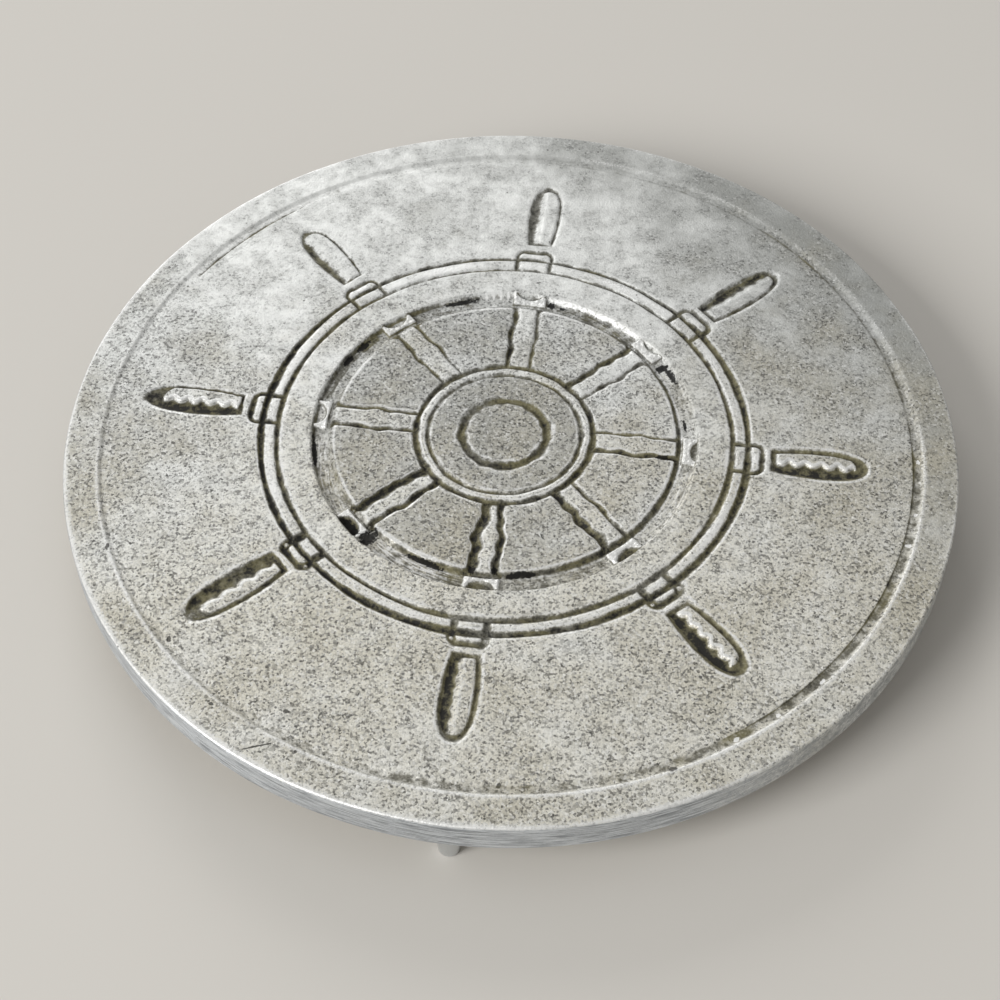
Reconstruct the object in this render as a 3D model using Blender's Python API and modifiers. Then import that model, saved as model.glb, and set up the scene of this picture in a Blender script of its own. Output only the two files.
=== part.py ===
"""A round cast trivet: a plate with a ship's wheel cut into its top, standing on three turned feet.

Metres, +Z up. The origin lies on the table under the middle of the plate, and the front is towards -Y.
The wheel is cut as a carver would: a V chisel follows each line, and the deeper hollows are sunk after it.
"""

import math

import bmesh
import bpy
from mathutils import Matrix

# Plate: a flat casting with a raised rim and a shallow channel along the rim's inner side
PLATE_DIAMETER = 0.203
PLATE_THICKNESS = 0.008
EDGE_ROUND = 0.0006
RIM_WIDTH = 0.008
RIM_RISE = 0.0003
CHANNEL_WIDTH = 0.0025
CHANNEL_DEPTH = 0.0004
CHANNEL_LEAN = 0.0005

# Feet: tapered pegs, each with a spigot that seats in a blind socket under the rim
FOOT_NAMES = ("front_foot", "back_right_foot", "back_left_foot")
FOOT_HEIGHT = 0.011
FOOT_ROOT_DIAMETER = 0.0064
FOOT_TIP_DIAMETER = 0.0046
FOOT_TIP_ROUND = 0.0005
FOOT_INSET = 0.0055
SPIGOT_DIAMETER = 0.004
SPIGOT_LENGTH = 0.004
SEAT_GAP = 0.0003

# Wheel: it sits a little off the plate's middle and leans a few degrees, as it was cut by hand
WHEEL_SHIFT_X = -0.0019
WHEEL_SHIFT_Y = 0.0009
WHEEL_TURN = math.radians(-8.0)
SPOKE_COUNT = 8
CHISEL_WIDTH = 0.0014
CHISEL_DEPTH = 0.0008

# Handles, from the tip inwards
HANDLE_MARGIN = 0.0078
HANDLE_LENGTH = 0.0222
HANDLE_WIDTH = 0.0080
HANDLE_BUTT_WIDTH = 0.0054
HANDLE_SWELL_AT = 0.0106
HANDLE_BLUNTNESS = 2.6
HOLLOW_DEPTH = 0.0010
HOLLOW_NOTCHES = 6
HOLLOW_NOTCH_DEPTH = 0.0007
HOLLOW_SIDE = math.radians(195.0)

# Collars, where the handles meet the ring
COLLAR_GAP = 0.0016
COLLAR_LENGTH = 0.0037
COLLAR_WIDTH = 0.0088
COLLAR_CORNER = 0.0015

# Ring: a bead between two lines, a flat band, and a sunk groove that the spokes end in
BEAD_WIDTH = 0.0036
BAND_WIDTH = 0.0077
SINK_WIDTH = 0.0041
SINK_DEPTH = 0.0012
SINK_LEAN = 0.0004
SADDLE_WIDTH = 0.0086
SADDLE_HORN = 0.0013
SADDLE_HOLLOW = 0.0016

# Spokes and hub
SPOKE_WIDTH = 0.0053
SPOKE_BEAD_RISE = 0.0006
SPOKE_BEAD_LENGTH = 0.0030
HUB_DIAMETER = 0.0406
HUB_RIM_WIDTH = 0.0027
BORE_DIAMETER = 0.0195

# Smoothness of round shapes
PLATE_STEPS = 96
RING_STEPS = 72
FOOT_STEPS = 32
ROUND_STEPS = 3
HANDLE_STEPS = 9
SADDLE_STEPS = 6
SPOKE_STEPS = 11
SHARP_FROM = math.radians(30.0)
FLAT_FROM = 0.99
CUT_OVER = 0.0006
CUT_PAST = 0.0002
WELD = 1e-6

# Finishes: colour, roughness and metallic value
CAST_FINISH = ((0.50, 0.49, 0.46), 0.55, 0.9)
TURNED_FINISH = ((0.72, 0.73, 0.74), 0.30, 1.0)

# What follows from the sizes above
PLATE_RADIUS = PLATE_DIAMETER / 2
PLATE_BOTTOM = FOOT_HEIGHT
PLATE_TOP = FOOT_HEIGHT + PLATE_THICKNESS
FIELD = PLATE_TOP - RIM_RISE
RIM_INNER = PLATE_RADIUS - RIM_WIDTH
FIELD_RADIUS = RIM_INNER - CHANNEL_WIDTH
FOOT_CIRCLE = PLATE_RADIUS - FOOT_INSET
HANDLE_TIP = FIELD_RADIUS - HANDLE_MARGIN
HANDLE_ROOT = HANDLE_TIP - HANDLE_LENGTH
COLLAR_TOP = HANDLE_ROOT - COLLAR_GAP
RING_OUTER = COLLAR_TOP - COLLAR_LENGTH
RING_INNER = RING_OUTER - BEAD_WIDTH
SINK_OUTER = RING_INNER - BAND_WIDTH
SINK_INNER = SINK_OUTER - SINK_WIDTH
HUB_RADIUS = HUB_DIAMETER / 2
FRONT_FOOT_ANGLE = WHEEL_TURN - math.pi / 2
WHEEL_PLACE = Matrix.Translation((WHEEL_SHIFT_X, WHEEL_SHIFT_Y, FIELD))


def clear_scene():
    """Removes what the file opened with."""
    for existing in list(bpy.data.objects):
        bpy.data.objects.remove(existing, do_unlink=True)


def new_collection(name):
    collection = bpy.data.collections.new(name)
    bpy.context.scene.collection.children.link(collection)
    return collection


def new_material(name, colour, roughness, metallic):
    material = bpy.data.materials.new(name)
    material.use_nodes = True
    shader = material.node_tree.nodes["Principled BSDF"]
    shader.inputs["Base Color"].default_value = (*colour, 1.0)
    shader.inputs["Roughness"].default_value = roughness
    shader.inputs["Metallic"].default_value = metallic
    return material


def make_mesh(source, collection):
    """The evaluated shape of an object as a welded, closed mesh object that takes its place and its name."""
    name = source.name
    graph = bpy.context.evaluated_depsgraph_get()
    mesh = bpy.data.meshes.new_from_object(source.evaluated_get(graph))
    shape = bmesh.new()
    shape.from_mesh(mesh)
    bmesh.ops.remove_doubles(shape, verts=shape.verts, dist=WELD)
    bmesh.ops.recalc_face_normals(shape, faces=shape.faces)
    shape.to_mesh(mesh)
    shape.free()
    made = bpy.data.objects.new(name, mesh)
    made.matrix_world = source.matrix_world
    bpy.data.objects.remove(source, do_unlink=True)
    made.name = name
    collection.objects.link(made)
    return made


def new_curve(name, points, closed, collection):
    """A flat curve through (x, y) points, joined by straight runs."""
    curve = bpy.data.curves.new(name, "CURVE")
    curve.dimensions = "2D"
    curve.fill_mode = "NONE"
    spline = curve.splines.new("POLY")
    spline.points.add(len(points) - 1)
    for point, (x, y) in zip(spline.points, points):
        point.co = (x, y, 0.0, 1.0)
    spline.use_cyclic_u = closed
    made = bpy.data.objects.new(name, curve)
    collection.objects.link(made)
    return made


def turn(name, profile, steps, collection, closed=False):
    """A turned solid from (radius, height) points that run down its outer side."""
    mesh = bpy.data.meshes.new(name)
    count = len(profile)
    edges = [(i, (i + 1) % count) for i in range(count if closed else count - 1)]
    mesh.from_pydata([(radius, 0.0, height) for radius, height in profile], edges, [])
    made = bpy.data.objects.new(name, mesh)
    collection.objects.link(made)
    screw = made.modifiers.new("turn", "SCREW")
    screw.steps = steps
    screw.render_steps = steps
    screw.use_merge_vertices = True
    screw.merge_threshold = WELD
    return make_mesh(made, collection)


def extrude(name, outline, low, high, collection):
    """A flat outline of (x, y) points made solid between two heights."""
    made = new_curve(name, outline, True, collection)
    made.data.fill_mode = "BOTH"
    made.data.extrude = (high - low) / 2
    made.location.z = (high + low) / 2
    bpy.context.view_layer.update()
    return make_mesh(made, collection)


def hide_cutter(cutter):
    cutter.hide_render = True
    cutter.display_type = "WIRE"


def subtract(target, cutters):
    """Cuts every object of a collection out of the target."""
    for cutter in cutters.objects:
        hide_cutter(cutter)
    boolean = target.modifiers.new(cutters.name, "BOOLEAN")
    boolean.operation = "DIFFERENCE"
    boolean.solver = "EXACT"
    boolean.operand_type = "COLLECTION"
    boolean.collection = cutters


def polar(radius, angle):
    return (radius * math.cos(angle), radius * math.sin(angle))


def spoke_angle(index):
    return WHEEL_TURN + math.tau * index / SPOKE_COUNT


def along_spoke(points, angle):
    """(distance out, distance to the left) points of one spoke, turned to that spoke's angle."""
    cos = math.cos(angle)
    sin = math.sin(angle)
    return [(out * cos - left * sin, out * sin + left * cos) for out, left in points]


def arc(centre_x, centre_y, radius, start, end, steps):
    """Points on an arc, both ends included."""
    points = []
    for i in range(steps + 1):
        x, y = polar(radius, start + (end - start) * i / steps)
        points.append((centre_x + x, centre_y + y))
    return points


def circle(radius):
    """Points round a ring, half a step off the turned shapes so that no edges coincide."""
    return [polar(radius, math.tau * (i + 0.5) / RING_STEPS) for i in range(RING_STEPS)]


def handle_half_width(along):
    """Half a handle's width at a distance from its butt: a slow swell, then a blunt round tip."""
    butt = HANDLE_BUTT_WIDTH / 2
    widest = HANDLE_WIDTH / 2
    if along < HANDLE_SWELL_AT:
        return widest - (widest - butt) * (1.0 - along / HANDLE_SWELL_AT) ** 2
    past = (along - HANDLE_SWELL_AT) / (HANDLE_LENGTH - HANDLE_SWELL_AT)
    return widest * math.sqrt(max(0.0, 1.0 - past**HANDLE_BLUNTNESS))


def handle_side():
    """One long side of a handle from butt to tip, as (distance out, half width) points."""
    side = []
    for i in range(HANDLE_STEPS + 1):
        along = HANDLE_LENGTH * math.sin(math.pi / 2 * i / HANDLE_STEPS)
        side.append((HANDLE_ROOT + along, handle_half_width(along)))
    return side


def handle_outline():
    """The closed outline of a handle on the first spoke."""
    left = handle_side()
    right = [(out, -half) for out, half in reversed(left[:-1])]
    return left + right


def handle_hollow(to_left):
    """The hollow along one side of a handle: it takes in the outline's cut, and its inner edge is notched."""
    spread = CHISEL_WIDTH / 4
    butt = HANDLE_ROOT - spread
    outer = [(butt, HANDLE_BUTT_WIDTH / 2 + spread)]
    outer += [(out, half + spread) for out, half in handle_side()[1:]]
    inner = []
    runs = 2 * HOLLOW_NOTCHES
    for i in range(runs - 1, 0, -1):
        notch = HOLLOW_NOTCH_DEPTH / 2 if i % 2 else -HOLLOW_NOTCH_DEPTH / 2
        inner.append((HANDLE_ROOT + HANDLE_LENGTH * i / runs, notch))
    side = 1.0 if to_left else -1.0
    return [(out, side * left) for out, left in outer + inner + [(butt, 0.0)]]


def collar_arch():
    """The line of a collar: up from the ring's inner line, across its rounded top and down again."""
    half = COLLAR_WIDTH / 2
    shoulder = half - COLLAR_CORNER
    top = COLLAR_TOP - COLLAR_CORNER
    left = [(RING_INNER - CUT_PAST, half)]
    left += arc(top, shoulder, COLLAR_CORNER, math.pi / 2, 0.0, ROUND_STEPS)
    return left + [(out, -side) for out, side in reversed(left)]


def spoke_line():
    """The left line of a spoke, from hub to ring, with a small turned bead halfway."""
    start = HUB_RADIUS - CUT_PAST
    end = SINK_INNER + CUT_PAST
    middle = (start + end) / 2
    line = []
    for i in range(SPOKE_STEPS + 1):
        out = start + (end - start) * i / SPOKE_STEPS
        bead = SPOKE_BEAD_RISE * math.exp(-(((out - middle) / SPOKE_BEAD_LENGTH) ** 2))
        line.append((out, SPOKE_WIDTH / 2 + bead))
    return line


def saddle_outline():
    """The block that a spoke ends in: it bridges the sunk groove, and its outer side is hollowed."""
    low = SINK_INNER - SINK_LEAN - CUT_OVER
    high = SINK_OUTER + SINK_LEAN + CUT_OVER
    half = SADDLE_WIDTH / 2
    inside = half - SADDLE_HORN
    floor = SINK_OUTER - SADDLE_HOLLOW
    outline = [(low, half), (high, half), (high, inside)]
    for i in range(1, SADDLE_STEPS):
        turn_by = math.pi * i / SADDLE_STEPS
        depth = (high - floor) * math.sin(turn_by)
        outline.append((high - depth, inside * math.cos(turn_by)))
    return outline + [(high, -inside), (high, -half), (low, -half)]


def plate_profile():
    """Half the plate's section: field, channel, rim, worn edge and underside."""
    floor = FIELD - CHANNEL_DEPTH
    edge = PLATE_RADIUS - EDGE_ROUND
    profile = [
        (0.0, FIELD),
        (FIELD_RADIUS, FIELD),
        (FIELD_RADIUS + CHANNEL_LEAN, floor),
        (RIM_INNER - CHANNEL_LEAN, floor),
        (RIM_INNER, PLATE_TOP),
    ]
    profile += arc(edge, PLATE_TOP - EDGE_ROUND, EDGE_ROUND, math.pi / 2, 0.0, ROUND_STEPS)
    profile += arc(edge, PLATE_BOTTOM + EDGE_ROUND, EDGE_ROUND, 0.0, -math.pi / 2, ROUND_STEPS)
    return profile + [(0.0, PLATE_BOTTOM)]


def foot_profile():
    """Half a foot's section: spigot, shoulder, tapered leg and rounded tip."""
    shoulder = FOOT_HEIGHT - SEAT_GAP
    spigot = SPIGOT_DIAMETER / 2
    tip = FOOT_TIP_DIAMETER / 2 - FOOT_TIP_ROUND
    profile = [
        (0.0, shoulder + SPIGOT_LENGTH),
        (spigot, shoulder + SPIGOT_LENGTH),
        (spigot, shoulder),
        (FOOT_ROOT_DIAMETER / 2, shoulder),
    ]
    profile += arc(tip, FOOT_TIP_ROUND, FOOT_TIP_ROUND, 0.0, -math.pi / 2, ROUND_STEPS)
    return profile + [(0.0, 0.0)]


def sunk_profile():
    """The section of the sunk groove's cutter, with leaning walls that run on above the field."""
    rise = CUT_OVER * SINK_LEAN / SINK_DEPTH
    return [
        (SINK_OUTER + SINK_LEAN / 2 + rise, CUT_OVER),
        (SINK_OUTER - SINK_LEAN / 2, -SINK_DEPTH),
        (SINK_INNER + SINK_LEAN / 2, -SINK_DEPTH),
        (SINK_INNER - SINK_LEAN / 2 - rise, CUT_OVER),
    ]


def new_chisel(collection):
    """The V section that every line is cut with, point down."""
    half = CHISEL_WIDTH / 2 * (1.0 + CUT_OVER / CHISEL_DEPTH)
    section = [(-half, CUT_OVER), (half, CUT_OVER), (0.0, -CHISEL_DEPTH)]
    chisel = new_curve("chisel", section, True, collection)
    hide_cutter(chisel)
    return chisel


def incise(name, path, closed, chisel, collection):
    """The chisel's cut along a path on the field."""
    line = new_curve(name, path, closed, collection)
    line.data.bevel_mode = "OBJECT"
    line.data.bevel_object = chisel
    line.data.use_fill_caps = True
    line.matrix_world = WHEEL_PLACE
    bpy.context.view_layer.update()
    return make_mesh(line, collection)


def wheel_lines(chisel):
    """Cutters for the wheel's rings, spokes, collars and handle outlines."""
    lines = new_collection("wheel_lines")
    rings = {
        "bore_line": BORE_DIAMETER / 2,
        "hub_inner_line": HUB_RADIUS - HUB_RIM_WIDTH,
        "hub_outer_line": HUB_RADIUS,
        "sink_line": SINK_INNER,
        "ring_inner_line": RING_INNER,
        "ring_outer_line": RING_OUTER,
    }
    for name, radius in rings.items():
        incise(name, circle(radius), True, chisel, lines)
    for index in range(SPOKE_COUNT):
        angle = spoke_angle(index)
        left = spoke_line()
        right = [(out, -side) for out, side in left]
        incise(f"spoke_left_{index}", along_spoke(left, angle), False, chisel, lines)
        incise(f"spoke_right_{index}", along_spoke(right, angle), False, chisel, lines)
        incise(f"collar_{index}", along_spoke(collar_arch(), angle), False, chisel, lines)
        incise(f"handle_{index}", along_spoke(handle_outline(), angle), True, chisel, lines)
    return lines


def wheel_sink():
    """Cutter for the sunk groove inside the ring, which a saddle bridges at the end of each spoke."""
    saddles = new_collection("wheel_saddles")
    for index in range(SPOKE_COUNT):
        outline = along_spoke(saddle_outline(), spoke_angle(index))
        saddle = extrude(f"saddle_{index}", outline, -2 * SINK_DEPTH, 2 * CUT_OVER, saddles)
        saddle.matrix_world = WHEEL_PLACE @ saddle.matrix_world
    sunk = new_collection("wheel_sink")
    groove = turn("sink", sunk_profile(), RING_STEPS, sunk, closed=True)
    groove.matrix_world = WHEEL_PLACE
    subtract(groove, saddles)
    return sunk


def handle_hollows():
    """Cutters for the hollow that each handle has along the side nearer to one direction."""
    hollows = new_collection("handle_hollows")
    for index in range(SPOKE_COUNT):
        angle = spoke_angle(index)
        to_left = math.cos(angle + math.pi / 2 - HOLLOW_SIDE) > 0.0
        outline = along_spoke(handle_hollow(to_left), angle)
        hollow = extrude(f"hollow_{index}", outline, -HOLLOW_DEPTH, CUT_OVER, hollows)
        hollow.matrix_world = WHEEL_PLACE @ hollow.matrix_world
    return hollows


def foot_places():
    """The (x, y) of each foot under the rim, the front one first."""
    share = math.tau / len(FOOT_NAMES)
    return [polar(FOOT_CIRCLE, FRONT_FOOT_ANGLE + share * i) for i in range(len(FOOT_NAMES))]


def foot_sockets():
    """Cutters for the blind sockets in the underside, a seat gap larger than the spigots they hold."""
    sockets = new_collection("foot_sockets")
    radius = SPIGOT_DIAMETER / 2 + SEAT_GAP
    top = FOOT_HEIGHT + SPIGOT_LENGTH
    low = PLATE_BOTTOM - CUT_OVER
    profile = [(0.0, top), (radius, top), (radius, low), (0.0, low)]
    for index, (x, y) in enumerate(foot_places()):
        socket = turn(f"socket_{index}", profile, FOOT_STEPS, sockets)
        socket.location = (x, y, 0.0)
    return sockets


def finish(part, material, root):
    """Gives a part its material, smooth shading on its round faces and its place under the trivet's root."""
    part.data.materials.append(material)
    for face in part.data.polygons:
        face.use_smooth = abs(face.normal.z) < FLAT_FROM
    part.data.set_sharp_from_angle(angle=SHARP_FROM)
    part.parent = root


def build_plate(parts, root):
    """The plate, turned first and then cut."""
    guides = new_collection("trivet_guides")
    cutters = [wheel_lines(new_chisel(guides)), wheel_sink(), handle_hollows(), foot_sockets()]
    plate = turn("plate", plate_profile(), PLATE_STEPS, parts)
    finish(plate, new_material("cast_aluminium", *CAST_FINISH), root)
    for collection in cutters:
        subtract(plate, collection)


def build_feet(parts, root):
    """The feet, which share one turned mesh."""
    shared = turn("foot", foot_profile(), FOOT_STEPS, parts)
    finish(shared, new_material("turned_aluminium", *TURNED_FINISH), root)
    for name, (x, y) in zip(FOOT_NAMES, foot_places()):
        foot = bpy.data.objects.new(name, shared.data)
        foot.location = (x, y, 0.0)
        foot.parent = root
        parts.objects.link(foot)
    bpy.data.objects.remove(shared, do_unlink=True)


def build():
    clear_scene()
    parts = new_collection("trivet")
    root = bpy.data.objects.new("trivet", None)
    parts.objects.link(root)
    build_feet(parts, root)
    build_plate(parts, root)


build()
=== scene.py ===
"""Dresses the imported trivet: a tarnished cast plate with a carved ship's wheel, its turned feet and a stage.

The file is laid out as an add-on and run as a script. Lengths are in metres and +Z is up. The origin lies on
the table under the middle of the plate, and the front is towards -Y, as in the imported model.
"""

import math

import bpy
import numpy as np
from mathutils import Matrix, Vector


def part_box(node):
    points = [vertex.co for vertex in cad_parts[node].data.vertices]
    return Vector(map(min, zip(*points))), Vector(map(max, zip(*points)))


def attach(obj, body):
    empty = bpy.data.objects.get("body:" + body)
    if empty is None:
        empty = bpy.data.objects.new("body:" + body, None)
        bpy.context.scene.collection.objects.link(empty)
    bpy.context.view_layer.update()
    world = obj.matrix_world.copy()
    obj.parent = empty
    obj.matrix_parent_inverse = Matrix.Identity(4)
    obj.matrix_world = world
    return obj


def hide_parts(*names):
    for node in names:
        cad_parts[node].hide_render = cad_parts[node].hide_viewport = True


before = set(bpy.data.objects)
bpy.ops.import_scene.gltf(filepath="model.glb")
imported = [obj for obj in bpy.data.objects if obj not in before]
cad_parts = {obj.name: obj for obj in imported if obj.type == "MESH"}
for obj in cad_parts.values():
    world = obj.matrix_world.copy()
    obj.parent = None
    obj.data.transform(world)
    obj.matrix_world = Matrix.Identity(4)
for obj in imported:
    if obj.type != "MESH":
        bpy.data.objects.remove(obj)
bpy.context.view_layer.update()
PLATE_LOW, PLATE_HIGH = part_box("plate")
FOOT_NODES = ("front_foot", "back_right_foot", "back_left_foot")

bl_info = {
    "name": "Ship's Wheel Trivet",
    "version": (1, 0, 0),
    "blender": (4, 5, 0),
    "location": "3D View > Sidebar > Trivet",
    "description": "Builds a cast trivet with a carved ship's wheel, its finishes and a plain stage",
    "category": "Add Mesh",
}

MM = 0.001

# Grid of the plate's top: columns in each spoke's share, how many of them keep beside the spoke, how far
# they reach to its sides, and the samples of the radius that the rings are chosen from. Then the steps round
# and down an edge, and the steps and columns of a foot
COLUMNS = 48
SPOKE_COLUMNS = 34
SPOKE_STRIP = 5.4 * MM
SPOKE_SPREAD = math.radians(15.0)
RADIUS_SAMPLES = 8001
EDGE_STEPS = 6
FOOT_STEPS = 8
FOOT_COLUMNS = 64

# The turn from one wave of an uneven surface to the next
GOLDEN_ANGLE = 2.39996

# Where the noises start from: off the object, because noise of several octaves shows its axes there
NOISE_ORIGIN = (0.413, 0.287, 0.351)

# How the carver's hand varied, spoke by spoke, from the one that points right and on by the back
NOTCHING = np.array([1.0, 0.35, 0.1, 0.1, 1.0, 0.75, 0.4, 0.9])
NOTCH_PITCH = MM * np.array([3.6, 3.4, 4.0, 4.0, 3.4, 4.5, 3.6, 3.4])
LEFT_LINE = MM * np.array([0.8, 1.9, 1.4, 1.1, 1.2, 1.6, 1.8, 1.0])
RIGHT_LINE = MM * np.array([1.3, 1.0, 1.0, 0.9, 0.9, 2.8, 2.8, 2.4])
SPOKE_TAPER = MM * np.array([0.0, 0.1, 0.0, 0.1, 0.1, 0.2, 1.1, 0.1])
PANEL_LINE = 1.1 * MM
COLLAR_TOP = MM * np.array([58.9, 58.9, 58.4, 58.4, 58.7, 58.5, 58.5, 58.5])
COLLAR_LINE = MM * np.array([1.3, 1.3, 1.3, 1.3, 1.4, 1.5, 1.7, 1.8])
COLLAR_SIDE = MM * np.array([1.2, 1.4, 1.0, 1.1, 1.1, 2.3, 2.3, 2.4])
COLLAR_HALF = MM * np.array([4.1, 4.3, 4.2, 4.2, 4.2, 3.7, 3.7, 3.7])
COLLAR_BASE = MM * np.array([3.9, 4.0, 4.0, 4.0, 4.0, 3.4, 3.5, 3.4])
COLLAR_FOOT = MM * np.array([1.4, 1.3, 1.1, 1.1, 1.2, 2.0, 1.8, 1.9])
COLLAR_DOTS = np.array([0.0, 0.0, 0.0, 0.0, 0.0, 1.0, 0.8, 1.0])
# How dark each handle's hollow is painted, as dirt and painted shadow
HOLLOW_DIRT_AND_SHADE = np.array([1.2, 1.1, 0.85, 0.9, 1.2, 1.0, 1.2, 1.25])
SADDLE_WEAR = np.array([0.6, 0.5, 0.45, 0.45, 0.75, 1.0, 0.7, 0.85])
# How dark each saddle's scoop is painted, as dirt and painted shade
SCOOP_DIRT_AND_SHADE = np.array([0.65, 0.6, 0.45, 0.3, 0.3, 1.2, 0.85, 1.0])
HANDLE_TIP = MM * np.array([82.0, 82.7, 81.4, 81.4, 83.4, 84.3, 82.0, 81.5])
HANDLE_END = MM * np.array([1.6, 0.6, 0.6, 0.6, 3.2, 2.6, 1.0, 1.9])
ISLAND_LINE = np.array([1.0, 0.9, 0.75, 0.65, 0.45, 0.9, 1.0, 1.0])
HANDLE_ASIDE = MM * np.array([0.2, 0.0, -0.8, -0.4, -0.4, -0.6, 0.1, 0.0])

# Dirt on the floor of the sunk groove, with painted shadow in the row along the outer wall at 134 to 164
# degrees, and bare metal scraped there, with painted highlight where the walls face the light at 41 to 75
# and 228 to 252 degrees: from and to in degrees, from and to in millimetres out, and how much
STAINS_AND_SHADOW = (
    (0.0, 31.0, 40.6, 43.6, 0.3),
    (43.0, 76.0, 40.6, 43.0, 0.5),
    (97.0, 121.0, 40.8, 43.8, 0.35),
    (134.0, 164.0, 42.2, 44.0, 0.6),
    (180.0, 212.0, 40.8, 43.8, 0.3),
    (227.0, 251.0, 40.4, 43.6, 0.4),
    (251.0, 258.0, 40.4, 44.0, 0.65),
    (272.0, 301.0, 40.2, 43.8, 0.45),
    (313.0, 346.0, 40.8, 43.8, 0.25),
)
SCRAPED_AND_LIT = (
    (41.0, 75.0, 43.0, 44.6, 0.5),
    (85.0, 97.0, 42.6, 44.4, 0.35),
    (180.0, 212.0, 40.8, 43.8, 0.5),
    (228.0, 252.0, 40.6, 43.6, 1.0),
    (313.0, 346.0, 40.8, 43.8, 0.5),
)

# Marks as degrees and millimetres out for the middle, length and width in millimetres, and the way the mark
# runs in degrees. First black patches in the sunk groove, about the wheel's middle: residue, and painted
# shadow where they lie against its walls
RESIDUE_AND_SHADOW = (
    (4.0, 41.6, 3.4, 0.9, 94.0),
    (24.7, 43.2, 6.4, 1.6, 114.7),
    (28.8, 42.4, 2.4, 3.6, 118.8),
    (70.2, 42.3, 1.7, 1.2, 160.2),
    (74.0, 42.4, 2.0, 2.2, 164.0),
    (103.7, 43.1, 9.6, 1.6, 13.7),
    (140.2, 43.2, 5.0, 1.6, 50.2),
    (147.5, 43.3, 4.0, 1.4, 57.5),
    (186.0, 43.5, 10.0, 1.2, 96.0),
    (217.8, 43.0, 6.6, 2.0, 127.8),
    (224.2, 42.1, 3.4, 5.6, 134.2),
    (244.0, 40.1, 11.0, 1.1, 154.0),
    (259.2, 38.9, 1.8, 2.4, 169.2),
    (266.5, 38.6, 1.6, 2.2, 176.5),
    (274.5, 39.9, 8.6, 1.3, 4.5),
    (348.3, 36.7, 1.7, 3.8, 78.3),
)
# Nicks and a scratch in the rim and the field, about the plate's middle
NICKS = (
    (237.4, 97.5, 7.3, 0.45, 13.0),
    (199.5, 93.9, 1.9, 0.9, 80.0),
    (217.3, 91.4, 1.7, 1.0, 100.0),
    (229.0, 95.2, 1.2, 0.9, 150.0),
    (242.0, 94.4, 0.9, 0.8, 0.0),
    (237.5, 87.2, 1.5, 1.2, 0.0),
    (290.0, 93.2, 2.0, 1.3, 20.0),
    (268.0, 91.3, 1.2, 0.9, 60.0),
)
# Strokes shaved in the groove's outer wall, about the wheel's middle
SHAVED = (
    (86.2, 43.7, 2.4, 0.7, 86.0),
    (88.4, 43.8, 2.0, 0.8, 90.0),
    (90.7, 43.7, 2.4, 0.7, 89.0),
    (93.0, 43.8, 1.9, 0.8, 94.0),
    (95.3, 43.7, 2.3, 0.7, 96.0),
)
# Painted highlights on nodules that the mould left in the channel, about the plate's middle: light colour
# only, as the nodules have no height here
NODULE_HIGHLIGHTS = (
    (299.3, 92.5, 1.7, 1.2, 40.0),
    (306.0, 92.6, 1.2, 0.9, 60.0),
    (314.0, 92.7, 1.8, 1.0, 50.0),
    (340.0, 92.4, 1.4, 1.1, 0.0),
    (345.5, 92.5, 1.0, 0.8, 30.0),
    (355.0, 92.4, 1.3, 0.9, 80.0),
)

# How far below the rim's top a mark reaches
MARK_REACH = 8.0 * MM

# Lamps of the stage: name, place, width in metres and power in watts. Then how far the floor reaches
LAMPS = (
    ("window_light", (-1.75, -1.2, 1.35), 1.2, 48.0),
    ("back_light", (-0.75, 2.25, 1.25), 1.4, 22.0),
)
FLOOR_REACH = 3.0


def linear(code):
    """The linear RGB of an sRGB hex colour."""
    channels = np.array([int(code[i : i + 2], 16) for i in (0, 2, 4)]) / 255.0
    low = channels / 12.92
    high = ((channels + 0.055) / 1.055) ** 2.4
    return tuple(np.where(channels <= 0.04045, low, high).tolist())


def length(default, name, description):
    """A setting that is a length."""
    return bpy.props.FloatProperty(
        name=name, description=description, default=default, unit="LENGTH", precision=5
    )


def colour(code, name, description):
    """A setting that is a colour, from its sRGB hex value."""
    return bpy.props.FloatVectorProperty(
        name=name, description=description, default=linear(code), subtype="COLOR", size=3, min=0.0, max=1.0
    )


class PlateSizes(bpy.types.PropertyGroup):
    """Sizes of the casting, outside and at the rim."""

    diameter: length(PLATE_HIGH.x - PLATE_LOW.x, "Diameter", "Across the whole plate")
    top: length(PLATE_HIGH.z, "Top", "Height of the rim's top above the table")
    bottom: length(PLATE_LOW.z, "Bottom", "Height of the underside above the table")
    edge_round: length(0.7 * MM, "Edge round", "Radius of the worn edge")
    rim_width: length(8.0 * MM, "Rim width", "From the outer edge to the channel")
    rim_rise: length(0.3 * MM, "Rim rise", "How far the rim stands above the field")
    channel_width: length(2.5 * MM, "Channel width", "The shallow channel inside the rim")
    channel_depth: length(0.35 * MM, "Channel depth", "How far the channel lies below the field")
    waviness: length(0.04 * MM, "Waviness", "How uneven the cast field is")


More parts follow.
